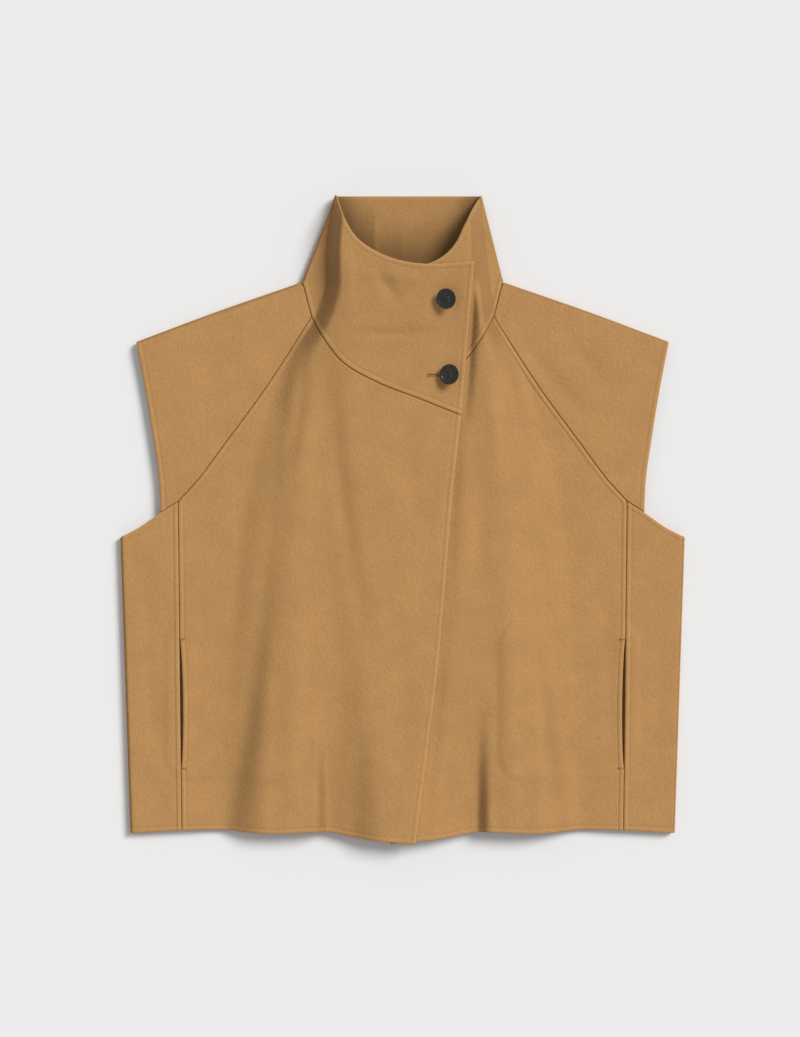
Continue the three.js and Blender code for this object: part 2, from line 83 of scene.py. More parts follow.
# Creases as soft troughs, or ridges where depth is below zero: from, to, half width, depth, sideways bow.
creases = [
    dict(at=[(-128, 520), (-196, -30)], spread=15, depth=3.6, bow=-10),
    dict(at=[(128, 520), (196, -30)], spread=15, depth=3.8, bow=9),
    dict(at=[(-82, 512), (-34, 180)], spread=11, depth=1.8, bow=4),
    dict(at=[(-104, 540), (-128, 400)], spread=7, depth=1.3, bow=-3),
    dict(at=[(-88, 520), (-112, 350)], spread=9, depth=-1.0, bow=5),
    dict(at=[(102, 545), (130, 395)], spread=7, depth=1.5, bow=3),
    dict(at=[(88, 528), (108, 340)], spread=9, depth=-1.1, bow=-4),
    dict(at=[(72, 470), (84, 250)], spread=10, depth=1.1, bow=-5),
    dict(at=[(-112, 300), (-120, -20)], spread=13, depth=-1.6, bow=3),
    dict(at=[(112, 320), (118, -20)], spread=13, depth=-1.6, bow=-4),
    dict(at=[(-220, 300), (-226, 40)], spread=9, depth=0.7, bow=2),
    dict(at=[(222, 280), (228, 60)], spread=9, depth=0.8, bow=-3),
    dict(at=[(-205, 445), (-118, 560)], spread=9, depth=1.0, bow=4),
    dict(at=[(-240, 500), (-150, 566)], spread=10, depth=0.7, bow=3),
    dict(at=[(208, 452), (120, 560)], spread=9, depth=0.9, bow=-4),
    dict(at=[(246, 470), (170, 560)], spread=10, depth=0.8, bow=-2),
    dict(at=[(-282, 300), (-270, 60)], spread=9, depth=0.6, bow=3),
    dict(at=[(284, 290), (274, 40)], spread=9, depth=0.6, bow=-4),
    dict(at=[(-29, 624), (-3, 580)], spread=8, depth=1.7, bow=2),
    dict(at=[(-62, 549), (44, 551)], spread=6, depth=1.0, bow=2),
    dict(at=[(-72, 690), (-79, 590)], spread=6, depth=2.2, bow=2),
    dict(at=[(-58, 640), (-62, 560)], spread=7, depth=-1.0, bow=-2),
    dict(at=[(-50, 612), (22, 604)], spread=8, depth=-0.9, bow=-4),
    dict(at=[(83, 668), (68, 450)], spread=6.5, depth=5.0, bow=0, only="left"),
    dict(at=[(68, 500), (48, 250)], spread=8, depth=2.2, bow=2, only="left"),
    dict(at=[(52, 290), (20, -40)], spread=8, depth=1.8, bow=1, only="left"),
    dict(at=[(96, 640), (94, 570)], spread=6, depth=-0.6, bow=0),
    dict(at=[(6, 470), (20, 330)], spread=12, depth=0.9, bow=5),
    dict(at=[(-8, 250), (-2, 20)], spread=14, depth=1.0, bow=-5),
    dict(at=[(-58, 120), (-64, -20)], spread=10, depth=-0.9, bow=2),
    dict(at=[(60, 130), (58, -20)], spread=10, depth=-1.0, bow=-2),
]
buttonPlaces = dict(upper=(48.5, 585), lower=(52, 503))
dimples = [dict(at=buttonPlaces["upper"], spread=13, depth=1.6),
           dict(at=buttonPlaces["lower"], spread=11, depth=1.3)]

pocket = dict(bottom=72, top=213, gape=2.8, bagBottom=60, bagTop=234, bagWidth=136, underSide=9,
              pouch=1.8, printHeight=0.75, printSoft=5, printCorner=26, printOuter=260)

# How the surface rises and falls beside an edge: the finished edge of double-faced cloth is turned in
# and slip-stitched, which leaves a rounded rim and a shallow groove.
# The entries named Shade paint shade into the grooves and seams and paint light onto the rims, puffs and
# bands.
edgeLook = dict(rim=1.7, rimDrop=1.0, groove=5.3, grooveWidth=0.85, grooveDepth=0.28, puff=0.15,
                band=4.9, bandRise=0.5, seamDrop=0.9, seamWidth=0.7,
                puffAt=2.8, puffWidth=1.6, puffShade=0.3, grooveShade=0.22, rimShade=0.7, seamShade=0.8,
                bandSoft=0.9, bandShade=0.3, bandGrooveAt=0.3, bandGrooveWidth=0.7, bandGrooveDepth=0.3,
                bandGrooveShade=0.35)


def smooth(t):
    t = np.clip(t, 0, 1)
    return t * t * (3 - 2 * t)


def ramp(value, limits):
    return smooth((value - limits[0]) / (limits[1] - limits[0]))


def mirror(knots):
    if isinstance(knots, list):
        return [(-x, y) for x, y in knots]
    return (-knots[0], knots[1])


# A smooth curve through the knots, read at shares of its length.
def edgeCurve(knots):
    p = np.array(knots, float)
    p = np.vstack([2 * p[0] - p[1], p, 2 * p[-1] - p[-2]])
    fine = []
    s = np.linspace(0, 1, 25)[:-1, None]
    for a, b, c, d in zip(p, p[1:], p[2:], p[3:]):
        spans = [math.sqrt(np.linalg.norm(w - v)) for v, w in ((a, b), (b, c), (c, d))]
        da, db, dc = spans
        m1 = ((b - a) / da - (c - a) / (da + db) + (c - b) / db) * db
        m2 = ((c - b) / db - (d - b) / (db + dc) + (d - c) / dc) * db
        fine.append(b + m1 * s + (3 * (c - b) - 2 * m1 - m2) * s ** 2 + (2 * (b - c) + m1 + m2) * s ** 3)
    fine = np.vstack(fine + [p[-2:-1]])
    run = np.concatenate([[0], np.cumsum(np.linalg.norm(np.diff(fine, axis=0), axis=1))])
    run /= run[-1]
    return lambda t: np.stack([np.interp(t, run, fine[:, 0]), np.interp(t, run, fine[:, 1])], -1)


# Several curves end to end, each over its share of the whole.
def joinCurves(curves, shares):
    ends = np.cumsum([0, *shares]) / sum(shares)

    def at(t):
        t = np.asarray(t, float)
        out = np.zeros(t.shape + (2,))
        for curve, low, high in zip(curves, ends, ends[1:]):
            here = (t >= low) & (t <= high)
            out[here] = curve((t[here] - low) / (high - low))
        return out
    return at


def reverseCurve(curve):
    return lambda t: curve(1 - np.asarray(t, float))


def mirrorCurve(curve):
    return lambda t: curve(t) * np.array([-1, 1])


def table(name, y):
    rows = climb["y"]
    knots = np.array(climb[name], float)
    slope = np.gradient(knots, rows)
    i = np.clip(np.searchsorted(rows, y) - 1, 0, len(rows) - 2)
    span = np.array(rows, float)[i + 1] - np.array(rows, float)[i]
    t = np.clip((y - np.array(rows, float)[i]) / span, 0, 1)
    return ((2 * t ** 3 - 3 * t ** 2 + 1) * knots[i] + (t ** 3 - 2 * t ** 2 + t) * span * slope[i]
            + (3 * t ** 2 - 2 * t ** 3) * knots[i + 1] + (t ** 3 - t ** 2) * span * slope[i + 1])


# Heights of the middle of the cloth: how far the layer has climbed at a place, from 0 to 1.
def climbShare(x, y, side):
    inward = table(side, y) - (-x if side == "right" else x)
    return smooth(inward / table("width", y) + 0.5)


def creaseDepth(x, y, side):
    total = np.zeros(np.shape(x))
    for crease in creases:
        if crease.get("only", side) != side:
            continue
        (ax, ay), (bx, by) = crease["at"]
        length = math.hypot(bx - ax, by - ay)
        ux, uy = (bx - ax) / length, (by - ay) / length
        t = ((x - ax) * ux + (y - ay) * uy) / length
        aside = (x - ax) * uy - (y - ay) * ux - crease["bow"] * np.sin(math.pi * np.clip(t, 0, 1))
        ends = np.sin(math.pi * np.clip(t, 0, 1)) ** 0.8
        total += crease["depth"] * np.exp(-(aside / crease["spread"]) ** 2) * ends
    for dimple in dimples:
        away = np.hypot(x - dimple["at"][0], y - dimple["at"][1])
        total += dimple["depth"] * np.exp(-(away / dimple["spread"]) ** 2)
    return total


# The pocket bag shows through the front as a low step with soft edges.
def bagPrint(x, y):
    inner = cut["sideSeamHem"][0] - pocket["bagWidth"]
    halfX, halfY = (pocket["printOuter"] - inner) / 2, (pocket["bagTop"] - pocket["bagBottom"]) / 2
    cx, cy = (pocket["printOuter"] + inner) / 2, (pocket["bagTop"] + pocket["bagBottom"]) / 2
    qx = np.abs(np.abs(x) - cx) - halfX + pocket["printCorner"]
    qy = np.abs(y - cy) - halfY + pocket["printCorner"]
    outside = np.hypot(np.maximum(qx, 0), np.maximum(qy, 0)) + np.minimum(np.maximum(qx, qy), 0)
    return pocket["printHeight"] * smooth(0.5 - (outside - pocket["printCorner"]) / pocket["printSoft"])


def foldDepth(x, y):
    across = np.abs(x)
    flute = ramp(across, hemDip["sharp"]) * ramp(across, hemDip["soft"])
    dip = hemDip["depth"] * flute * (1 - ramp(y, hemDip["fade"]))
    aside = (across - sideTrough["x"]) / sideTrough["spread"]
    return dip + sideTrough["depth"] * np.exp(-aside ** 2) * (1 - ramp(y, sideTrough["fade"]))


def underHeight(x, y):
    share = climbShare(x, y, "right") * climbShare(x, y, "left")
    return (cloth["sideLevel"] + table("height", y) * share - foldDepth(x, y) - creaseDepth(x, y, "left")
            + bagPrint(x, y))


hiddenEdge = [mirror(cut["frontHemCorner"]), *reversed(underEnd["edge"]), underEnd["neck"],
              underEnd["collarTop"]]
overlapBlend = (-46, -7)


def overHeight(x, y):
    hiddenX = np.interp(y, [p[1] for p in hiddenEdge], [p[0] for p in hiddenEdge])
    lift = (cloth["thick"] + cloth["lapGap"]) * ramp(x - hiddenX, overlapBlend)
    share = climbShare(x, y, "right")
    return (cloth["sideLevel"] + table("height", y) * share - foldDepth(x, y) - creaseDepth(x, y, "right")
            + bagPrint(x, y) + lift)


def onBack(x, y):
    return np.full_like(x, cloth["backLevel"])


# Shares along a side of this length: close together beside its ends, where edges are finished.
def shares(length, step, nearFrom=True, nearTo=True, fold=False):
    close = [0, 0.6, 1.2, 2.0, 3.0, 4.0, 4.8, 5.5, 6.3, 7.6, 9.5]
    start = [0, 4.3, 5.2, 6.6, 8.6] if fold else close if nearFrom else [0]
    end = close if nearTo else [0]
    middle = length - start[-1] - end[-1]
    count = max(2, round(middle / step))
    inner = start[-1] + middle * np.arange(1, count) / count
    return np.concatenate([start, inner, length - np.array(end[::-1])]) / length


def patch(start, stop, foot, head, u, v):
    s, e, f, h = start(v)[:, None], stop(v)[:, None], foot(u)[None], head(u)[None]
    uu, vv = u[None, :, None], v[:, None, None]
    corners = ((1 - uu) * (1 - vv) * f[:, :1] + uu * (1 - vv) * f[:, -1:]
               + (1 - uu) * vv * h[:, :1] + uu * vv * h[:, -1:])
    return (1 - uu) * s + uu * e + (1 - vv) * f + vv * h - corners


def awayFrom(points, line):
    a, b = line[:-1], line[1:]
    d = b - a
    rel = points.reshape(-1, 1, 2) - a
    t = np.clip((rel * d).sum(-1) / np.maximum((d * d).sum(-1), 1e-9), 0, 1)
    gap = np.linalg.norm(rel - t[..., None] * d, axis=-1)
    return gap.min(1).reshape(points.shape[:-1])


# Moves the sewn sides of a patch in by half a seam gap, fading over the first rows.
def drawIn(grid, sides):
    out = grid.copy()
    half = cloth["seamGap"] / 2
    for side in sides:
        line, into = {"start": (grid[:, 0], grid[:, 1]), "stop": (grid[:, -1], grid[:, -2]),
                      "foot": (grid[0], grid[1]), "head": (grid[-1], grid[-2])}[side]
        along = np.gradient(line, axis=0)
        square = np.stack([-along[:, 1], along[:, 0]], -1)
        square /= np.linalg.norm(square, axis=1)[:, None]
        square *= np.sign(((into - line) * square).sum(1))[:, None]
        for away, share in ((0, 1), (1, 0.6), (2, 0.3)):
            index = away if side in ("start", "foot") else -1 - away
            if side in ("start", "stop"):
                out[:, index] += square * half * share
            else:
                out[index] += square * half * share
    return out


# Rise of the outer face, and the shade and light painted into the colour with it, from the distance to each
# kind of edge.
def finishEdges(grid, kinds):
    rise = np.zeros(grid.shape[:2])
    thin = np.zeros(grid.shape[:2])
    shade = np.zeros(grid.shape[:2])
    lines = {"start": grid[:, 0], "stop": grid[:, -1], "foot": grid[0], "head": grid[-1]}
    look = edgeLook
    for side, kind in kinds.items():
        away = awayFrom(grid, lines[side])
        if kind == "free":
            groove = np.exp(-((away - look["groove"]) / look["grooveWidth"]) ** 2)
            rim = np.clip(1 - away / look["rim"], 0, 1) ** 2
            puff = np.exp(-((away - look["puffAt"]) / look["puffWidth"]) ** 2)
            rise += look["puff"] * puff - look["grooveDepth"] * groove
            thin += look["rimDrop"] * rim
            shade += look["puffShade"] * puff - look["grooveShade"] * groove + look["rimShade"] * rim
        else:
            drop = np.exp(-(away / look["seamWidth"]) ** 2)
            rise -= look["seamDrop"] * drop
            shade -= look["seamShade"] * drop
            if kind == "band":
                inBand = smooth((look["band"] - away) / look["bandSoft"] + 0.5)
                aside = away - look["band"] - look["bandGrooveAt"]
                groove = np.exp(-(aside / look["bandGrooveWidth"]) ** 2)
                rise += look["bandRise"] * inBand - look["bandGrooveDepth"] * groove
                shade += look["bandShade"] * inBand - look["bandGrooveShade"] * groove
    return rise, thin, shade


def lay(grid, height):
    return np.concatenate([grid, height(grid[..., 0], grid[..., 1])[..., None]], -1)


# Upper layer, turn and lower layer in one grid; both layers' columns start at the fold.
def foldOver(upper, lower, height, upperLook, lowerLook):
    upperIn = upper[:, 1] - upper[:, 0]
    lowerIn = lower[:, 1] - lower[:, 0]
    upperIn /= np.linalg.norm(upperIn, axis=1)[:, None]
    lowerIn /= np.linalg.norm(lowerIn, axis=1)[:, None]
    start = upper[:, 0] + upperIn * cloth["foldReach"]
    top = height(start[:, 0], start[:, 1])
    low = cloth["backLevel"]
    turn, facing = [], []
    for degrees in range(90, -91, -15):
        angle = math.radians(degrees)
        inward = upperIn if degrees > 0 else lowerIn
        flat = upper[:, 0] + inward * cloth["foldReach"] * (1 - math.cos(angle))
        z = (top + low) / 2 + (top - low) / 2 * math.sin(angle)
        turn.append(np.concatenate([flat, z[:, None]], -1))
        out = -(upperIn + lowerIn) / 2 * math.cos(angle)
        facing.append(np.concatenate([out, np.full((len(out), 1), math.sin(angle))], -1))
    turn, facing = np.stack(turn, 1), np.stack(facing, 1)
    up = lay(upper[:, 1:], height)[:, ::-1]
    down = lay(lower[:, 1:], onBack)
    points = np.concatenate([up, turn, down], 1)
    faces = np.concatenate([np.tile([0.0, 0, 1], up.shape[:2] + (1,)), facing,
                            np.tile([0.0, 0, -1], down.shape[:2] + (1,))], 1)
    looks = []
    for upperPart, lowerPart in zip(upperLook, lowerLook):
        between = np.linspace(0, 1, turn.shape[1])[None]
        middle = upperPart[:, :1] * (1 - between) + lowerPart[:, :1] * between
        looks.append(np.concatenate([upperPart[:, 1:][:, ::-1], middle, lowerPart[:, 1:]], 1))
    return points, faces, looks


def gridNormals(points, facing):
    normal = np.cross(np.gradient(points, axis=1), np.gradient(points, axis=0))
    normal /= np.maximum(np.linalg.norm(normal, axis=-1), 1e-12)[..., None]
    return normal * np.where((normal * facing).sum(-1) < 0, -1, 1)[..., None]


# Closed cloth shell about a grid, with the shade and light painted beside its edges and the shade painted on
# fold slopes and inside the collar kept as attributes.
def clothShell(name, points, facing, looks, thick, shadeInside=0.0):
    rise, thin, shade = looks
    normal = gridNormals(points, facing)
    # Painted shade on the slopes of folds, fuller the more the cloth leans; shadeInside adds the shade
    # painted inside the collar.
    lean = np.clip((1 - np.abs(normal[..., 2])) / cloth["leanFull"], 0, 1) * (facing[..., 2] > 0.5)
    lean = np.maximum(lean, shadeInside)
    half = (thick / 2 - thin * 0.5 * thick / cloth["thick"])[..., None]
    onFloor = (facing[..., 2] < -0.5) & (points[..., 2] < cloth["backLevel"] + 0.01)
    outer = points + normal * (half + np.where(onFloor, np.minimum(rise, 0), rise)[..., None])
    inner = points - normal * half
    rows, columns = points.shape[:2]
    vertices = np.concatenate([outer.reshape(-1, 3), inner.reshape(-1, 3)])
    vertices[:, 1] += hemLine
    index = np.arange(rows * columns).reshape(rows, columns)
    back = index + rows * columns
    quads = [np.stack([index[:-1, :-1], index[:-1, 1:], index[1:, 1:], index[1:, :-1]], -1).reshape(-1, 4),
             np.stack([back[:-1, :-1], back[1:, :-1], back[1:, 1:], back[:-1, 1:]], -1).reshape(-1, 4)]
    for a, b, turned in ((index[0], back[0], False), (index[-1], back[-1], True),
                         (index[:, 0], back[:, 0], True), (index[:, -1], back[:, -1], False)):
        rim = np.stack([a[:-1], b[:-1], b[1:], a[1:]], -1)
        quads.append(rim[:, ::-1] if turned else rim)
    quads = np.concatenate(quads)
    a, b, c, d = (vertices[quads[:, i]] for i in range(4))
    if (np.cross(c - a, d - b) * (a + b + c + d)).sum() < 0:
        quads = quads[:, ::-1]
    mesh = bpy.data.meshes.new(name)
    mesh.from_pydata((vertices * mm).tolist(), [], quads.tolist())
    mesh.validate()
    attribute = mesh.attributes.new("edgeShade", "FLOAT", "POINT")
    both = np.concatenate([shade.ravel(), cloth["innerShade"] * shade.ravel()])
    attribute.data.foreach_set("value", both.astype(np.float32))
    attribute = mesh.attributes.new("foldShade", "FLOAT", "POINT")
    attribute.data.foreach_set("value", np.concatenate([lean.ravel()] * 2).astype(np.float32))
    piece = bpy.data.objects.new(name, mesh)
    bpy.context.scene.collection.objects.link(piece)
    mesh.polygons.foreach_set("use_smooth", [True] * len(mesh.polygons))
    return piece


# Seams that two pieces share, so that both are cut to the same line.
def seamSet():
    left = dict(
        side=edgeCurve([cut["sideSeamHem"], cut["sideSeamTop"]]),
        raglan=edgeCurve([cut["sideSeamTop"], *cut["raglan"], cut["raglanNeck"]]),
        backRaglan=edgeCurve([cut["sideSeamTop"], *cut["backRaglan"], cut["backRaglanNeck"]]),
        corner=edgeCurve([cut["sideSeamTop"], cut["sleeveCorner"]]),
        shoulder=edgeCurve([cut["shoulderNeck"], cut["raglanNeck"]]),
        backShoulder=edgeCurve([cut["shoulderNeck"], cut["backRaglanNeck"]]))
    right = {name: mirrorCurve(curve) for name, curve in left.items()}
    return dict(left=left, right=right)


seams = seamSet()
neckCurve = dict(
    right=edgeCurve([*mirror([cut["raglanNeck"], *cut["neckSeam"]]), overEnd["neck"]]),
    left=edgeCurve([cut["raglanNeck"], *cut["neckSeam"], underEnd["neck"]]))
backNeck = edgeCurve([mirror(cut["backRaglanNeck"]), cut["backNeckCentre"], cut["backRaglanNeck"]])
sides = dict(right=dict(sign=-1, height=overHeight, end=overEnd),
             left=dict(sign=1, height=underHeight, end=underEnd))
# How a side made of several seams is shared out between them.
seamShares = dict(front=(10, 12), sleeve=(12, 1), neck=(4, 15), backNeck=(4, 8, 4))
# Length of a grid's sides and the spacing of its rows, in mm: across, then along.
gridRows = dict(front=((235, 2.9), (590, 3.2)), back=((490, 5.5), (585, 5.5)),
                sidePanel=((60, 3), (362, 3.2)),
                sleeve=((150, 3), (235, 3)), collar=((215, 2.3), (150, 2.1)),
                collarBack=(105, 2.6))
print("seams drawn")


def flip(sign, knots):
    return mirror(knots) if sign < 0 else knots


# A front: side seam and raglan seam on one side, the slanted front edge on the other.
def makeFront(side, name):
    facts = sides[side]
    sign, end = facts["sign"], facts["end"]

    def gaped(t):
        points = seams[side]["side"](t)
        opened = np.clip((points[:, 1] - pocket["bottom"]) / (pocket["top"] - pocket["bottom"]), 0, 1)
        points[:, 0] -= sign * pocket["gape"] * np.sin(math.pi * opened) ** 0.6
        return points
    corner = flip(-sign, cut["frontHemCorner"])
    hem = edgeCurve([*flip(sign, [cut["sideSeamHem"], *cut["frontHem"]]), corner])
    u, v = (shares(*rows) for rows in gridRows["front"])
    grid = patch(joinCurves([gaped, seams[side]["raglan"]], seamShares["front"]),
                 edgeCurve([corner, *reversed(end["edge"]), end["neck"]]), hem, neckCurve[side], u, v)
    kinds = dict(start="band", stop="free", foot="free", head="seam")
    looks = finishEdges(grid, kinds)
    grid = drawIn(grid, ("start", "head"))
    facing = np.tile([0.0, 0, 1], grid.shape[:2] + (1,))
    return clothShell(name, lay(grid, facts["height"]), facing, looks, cloth["thick"])


def makeBack():
    u, v = (shares(*rows) for rows in gridRows["back"])
    hem = edgeCurve([mirror(cut["sideSeamHem"]), cut["backHemCentre"], cut["sideSeamHem"]])
    grid = patch(joinCurves([seams["right"]["side"], seams["right"]["backRaglan"]], seamShares["front"]),
                 joinCurves([seams["left"]["side"], seams["left"]["backRaglan"]], seamShares["front"]),
                 hem, backNeck, u, v)
    looks = finishEdges(grid, dict(start="seam", stop="seam", foot="free", head="seam"))
    grid = drawIn(grid, ("start", "stop", "head"))
    facing = np.tile([0.0, 0, -1], grid.shape[:2] + (1,))
    return clothShell("back", lay(grid, onBack), facing, looks, cloth["thick"])


# Side panels, folded at the outer edge.
def makeSidePanel(side, name):
    facts = sides[side]
    sign = facts["sign"]
    across, along = gridRows["sidePanel"]
    u, v = shares(*across, fold=True), shares(*along)
    grid = patch(edgeCurve(flip(sign, [cut["hemCorner"], cut["underarm"]])), seams[side]["side"],
                 edgeCurve(flip(sign, [cut["hemCorner"], cut["sideSeamHem"]])),
                 edgeCurve(flip(sign, [cut["underarm"], *cut["armhole"], cut["sleeveCorner"],
                                       cut["sideSeamTop"]])), u, v)
    upperLook = finishEdges(grid, dict(stop="band", foot="free", head="free"))
    lowerLook = finishEdges(grid, dict(stop="seam", foot="free", head="free"))
    grid = drawIn(grid, ("stop", "head"))
    points, facing, looks = foldOver(grid, grid, facts["height"], upperLook, lowerLook)
    return clothShell(name, points, facing, looks, cloth["thick"])


# Cap sleeves, folded along the shoulder.
def makeSleeve(side, name):
    facts = sides[side]
    sign = facts["sign"]
    across, along = gridRows["sleeve"]
    u, v = shares(*across, fold=True), shares(*along)
    fold = edgeCurve(flip(sign, [cut["shoulderNeck"], *cut["shoulderFold"], cut["sleeveTip"]]))
    hem = edgeCurve(flip(sign, [cut["sleeveTip"], *cut["sleeveHem"], cut["sleeveCorner"]]))

    def layer(raglan, neck):
        sewn = joinCurves([reverseCurve(raglan), seams[side]["corner"]], seamShares["sleeve"])
        return patch(fold, sewn, neck, hem, u, v)
    upper = layer(seams[side]["raglan"], seams[side]["shoulder"])
    lower = layer(seams[side]["backRaglan"], seams[side]["backShoulder"])
    kinds = dict(stop="seam", foot="seam", head="free")
    upperLook, lowerLook = finishEdges(upper, kinds), finishEdges(lower, kinds)
    upper, lower = drawIn(upper, ("stop", "foot")), drawIn(lower, ("stop", "foot"))
    points, facing, looks = foldOver(upper, lower, facts["height"], upperLook, lowerLook)
    return clothShell(name, points, facing, looks, cloth["thick"])


# Shade put on the inside of the collar's back: at its darkest, at its palest, how far up it fades, and the
# height in mm under which the cloth counts as the back.
paintedCollarShade = dict(deepest=1.8, least=0.3, fade=62, below=4)


# Collar: one band from the over end round the back of the neck to the under end.
def makeCollar():
    across, along = gridRows["collar"]
    v = shares(*along)
    layers = {}
    for side, facts in sides.items():
        end, neckShoulder = facts["end"], flip(facts["sign"], cut["shoulderNeck"])
        u = shares(*across, fold=True)
        grid = patch(edgeCurve([neckShoulder, end["peak"]]), edgeCurve([end["neck"], end["collarTop"]]),
                     joinCurves([seams[side]["shoulder"], neckCurve[side]], seamShares["neck"]),
                     edgeCurve([end["peak"], *end["topEdge"], end["collarTop"]]), u, v)
        look = finishEdges(grid, dict(stop="free", foot="band", head="free"))
        layers[side] = (drawIn(grid, ("foot",)), look)
    half = shares(*gridRows["collarBack"], nearTo=False, fold=True)
    u = np.concatenate([half / 2, 1 - half[-2::-1] / 2])
    foot = joinCurves([seams["right"]["backShoulder"], backNeck, reverseCurve(seams["left"]["backShoulder"])],
                      seamShares["backNeck"])
    grid = patch(edgeCurve([mirror(cut["shoulderNeck"]), overEnd["peak"]]),
                 edgeCurve([cut["shoulderNeck"], underEnd["peak"]]), foot,
                 edgeCurve([overEnd["peak"], underEnd["peak"]]), u, v)
    backLook = finishEdges(grid, dict(foot="seam", head="free"))
    grid = drawIn(grid, ("foot",))
    middle = len(half)
    rightGrid, leftGrid = grid[:, :middle], grid[:, middle:][:, ::-1]
    rightLook = [part[:, :middle] for part in backLook]
    leftLook = [part[:, middle:][:, ::-1] for part in backLook]
    right = foldOver(layers["right"][0], rightGrid, overHeight, layers["right"][1], rightLook)
    left = foldOver(layers["left"][0], leftGrid, underHeight, layers["left"][1], leftLook)
    points = np.concatenate([right[0], left[0][:, ::-1]], 1)
    facing = np.concatenate([right[1], left[1][:, ::-1]], 1)
    looks = [np.concatenate([a, b[:, ::-1]], 1) for a, b in zip(right[2], left[2])]
    # Painted shade inside the back of the collar, deeper the further it goes down behind the two front ends.
    mouth = sorted([*underEnd["topEdge"], *overEnd["topEdge"][:4], overEnd["peak"], underEnd["peak"]])
    mouthLine = np.interp(points[..., 0], [p[0] for p in mouth], [p[1] for p in mouth])
    deep = smooth(1 - (points[..., 1] - mouthLine) / paintedCollarShade["fade"])
    inside = (paintedCollarShade["deepest"] - paintedCollarShade["least"]) * deep + paintedCollarShade["least"]
    inside = np.where((facing[..., 2] < 0) & (points[..., 2] < paintedCollarShade["below"]), inside, 0)
    return clothShell("collar", points, facing, looks, cloth["thick"], inside)


# Pocket bags: one patch behind each front, hanging a little slack.
def makePocketBag(side, name):
    facts = sides[side]
    outer = cut["sideSeamHem"][0] + pocket["underSide"]
    inner = cut["sideSeamHem"][0] - pocket["bagWidth"]
    ys = np.linspace(pocket["bagBottom"], pocket["bagTop"], 45)
    xs = np.linspace(outer, inner, 37)
    grid = np.stack(np.meshgrid(facts["sign"] * xs, ys), -1)
    slack = np.sin(math.pi * np.linspace(0, 1, 45))[:, None] * np.cos(math.pi / 2 * np.linspace(0, 1, 37))
    hang = cloth["thick"] / 2 + 2 * cloth["layerGap"] + cloth["bagThick"] / 2
    points = lay(grid, facts["height"])
    points[..., 2] -= hang + pocket["pouch"] * slack + bagPrint(grid[..., 0], grid[..., 1])
    lowest = cloth["thick"] + cloth["layerGap"] + cloth["bagThick"] / 2
    points[..., 2] = np.maximum(points[..., 2], lowest)
    facing = np.tile([0.0, 0, 1], grid.shape[:2] + (1,))
    looks = [np.zeros(grid.shape[:2])] * 3
    return clothShell(name, points, facing, looks, cloth["bagThick"])


woolPieces = dict(
    back=makeBack(), frontRight=makeFront("right", "frontRight"), frontLeft=makeFront("left", "frontLeft"),
    sidePanelRight=makeSidePanel("right", "sidePanelRight"),
    sidePanelLeft=makeSidePanel("left", "sidePanelLeft"),
    sleeveRight=makeSleeve("right", "sleeveRight"), sleeveLeft=makeSleeve("left", "sleeveLeft"),
    collar=makeCollar())
woolPieces["back"].name = "backPanel"
woolPieces["collar"].name = "funnelCollar"
bagPieces = dict(right=makePocketBag("right", "pocketBagRight"), left=makePocketBag("left", "pocketBagLeft"))
print("cloth shells made")


def deselectAll():
    if bpy.context.mode != "OBJECT":
        bpy.ops.object.mode_set(mode="OBJECT")
    bpy.ops.object.select_all(action="DESELECT")


def selectFaces(piece, wanted):
    bpy.ops.object.mode_set(mode="EDIT")
    bpy.ops.mesh.select_all(action="DESELECT")
    bpy.ops.mesh.select_mode(type="FACE")
    bpy.ops.object.mode_set(mode="OBJECT")
    for face in piece.data.polygons:
        face.select = wanted(face)
    bpy.ops.object.mode_set(mode="EDIT")


def applyModifier(piece, kind, **settings):
    modifier = piece.modifiers.new(kind.title(), kind)
    for name, value in settings.items():
        setattr(modifier, name, value)
    bpy.context.view_layer.objects.active = piece
    bpy.ops.object.modifier_apply(modifier=modifier.name)


buttonLook = dict(radius=11.4, thick=3.4, rim=2.2, well=0.9, holeRadius=0.95, holePitch=3.4, round=0.55,
                  threadRadius=0.42, tiltUpper=(24, 205), tiltLower=(22, 180), wellSlope=1.0, dishInset=3.2,
                  dishDepth=0.25, baseShare=0.8, strandShift=0.36, strandFlat=0.62, strandSunk=0.5)


